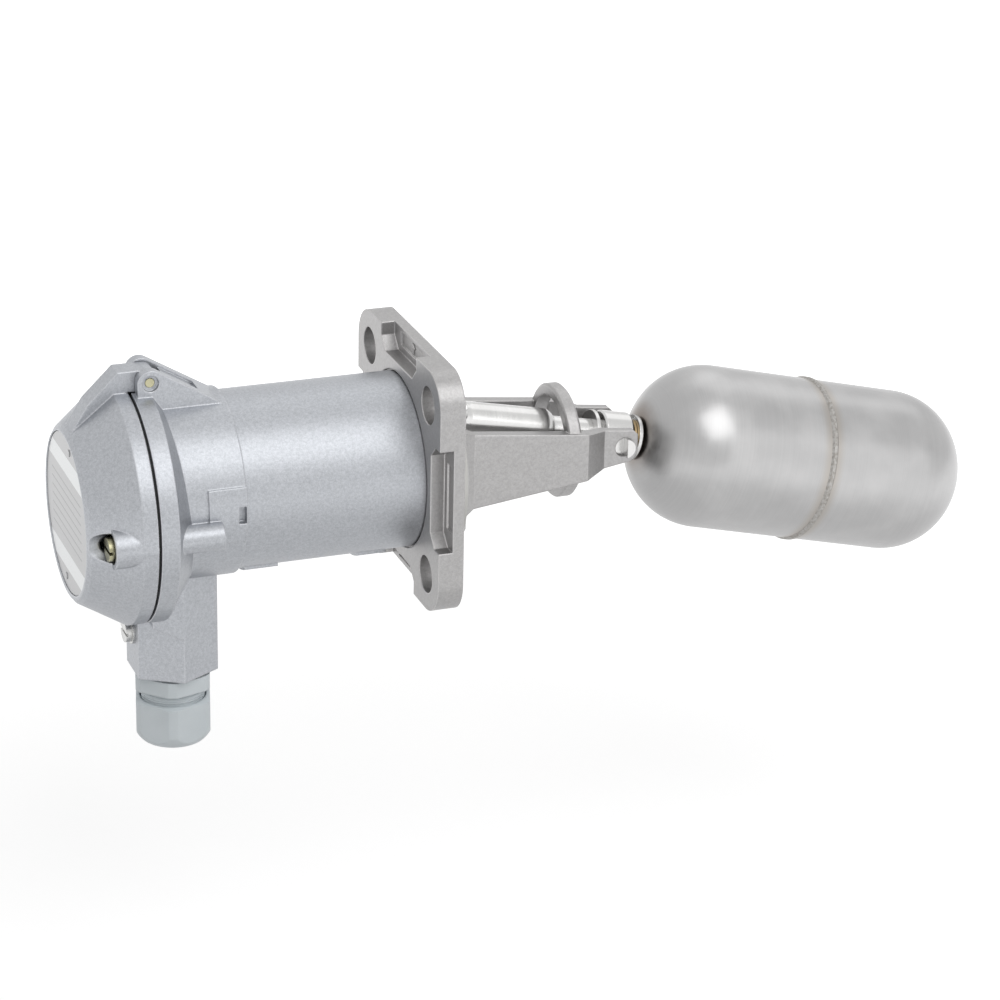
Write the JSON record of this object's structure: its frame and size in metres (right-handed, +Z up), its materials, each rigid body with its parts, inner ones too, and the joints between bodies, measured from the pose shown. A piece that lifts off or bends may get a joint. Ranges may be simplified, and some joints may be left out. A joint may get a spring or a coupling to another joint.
{
  "type": "float switch",
  "caption": "Side-mounted magnetic float switch: square four-bolt flange, hinged float lever with a steel float, and a cast switch housing with a hinged cover.",
  "frame": {"origin": "centre of the square flange's tank-side face, on the housing's axis", "axes": "+X into the tank along the housing's axis, +Z up, +Y to the left when looking along +X"},
  "size_m": [0.3514, 0.092, 0.1461],
  "materials": {
    "cast_alloy": "cast, blasted",
    "cast_stainless": "cast, matt",
    "stainless": "brushed",
    "zinc_plated": "zinc plated",
    "bronze": "bare",
    "rubber": "matt black",
    "gasket": "pressed fibre",
    "grey_plastic": "moulded",
    "switch_plastic": "moulded black",
    "rocker_plastic": "moulded",
    "magnet": "sintered",
    "plate": "anodised sheet"
  },
  "bodies": {
    "base": {"flange": "cast_stainless", "flange_gasket": "gasket", "pressure_dome": "stainless", "bracket": "cast_stainless", "bracket_screws": "zinc_plated", "pivot_pin": "stainless", "housing_gasket": "rubber", "housing": "cast_alloy", "housing_screws": "zinc_plated", "hinge_pin": "stainless", "cover_seal": "rubber", "gland_gasket": "rubber", "gland_body": "grey_plastic", "gland_nut": "grey_plastic", "gland_seal": "rubber", "earth_screw": "zinc_plated", "earth_washer": "zinc_plated", "switch_frame": "stainless", "microswitch": "switch_plastic", "microswitch_screws": "zinc_plated", "rocker_pin": "stainless", "terminal_block": "switch_plastic", "terminal_screws": "zinc_plated", "terminal_fixings": "zinc_plated"},
    "cover": {"cover": "cast_alloy", "cover_screws": "zinc_plated", "label_plate": "plate", "label_rivets": "plate"},
    "float_arm": {"lever_hub": "stainless", "lever_rod": "stainless", "lever_washer": "stainless", "lever_tube": "stainless", "magnet_capsule": "stainless", "lever_magnet": "magnet", "retaining_ring": "bronze", "float_stub": "stainless", "float_shell_near": "stainless", "float_shell_far": "stainless", "float_weld": "stainless"},
    "rocker": {"rocker": "rocker_plastic", "rocker_magnet": "magnet"},
    "plunger": {"microswitch_plunger": "rocker_plastic"}
  },
  "joints": [
    {"name": "cover_hinge", "type": "hinge", "parent": "base", "child": "cover", "pos_m": [-0.1039, 0, 0.0426], "axis": [0, 1, 0], "range_deg": [0, 110]},
    {"name": "float_pivot", "type": "hinge", "parent": "base", "child": "float_arm", "pos_m": [0.0745, 0, -0.0004], "axis": [0, -1, 0], "range_deg": [0, 24]},
    {"name": "rocker_pivot", "type": "hinge", "parent": "base", "child": "rocker", "pos_m": [-0.05, 0, 0], "axis": [0, -1, 0], "range_deg": [0, 16]},
    {"name": "plunger_slide", "type": "slide", "parent": "base", "child": "plunger", "axis": [0, 0, -1], "range_m": [0, 0.0012]}
  ],
  "couplings": [
    {"joint": "rocker_pivot", "follows": "float_pivot", "ratio": 0.6666},
    {"joint": "plunger_slide", "follows": "float_pivot", "m_per_rad": 0.002864}
  ]
}
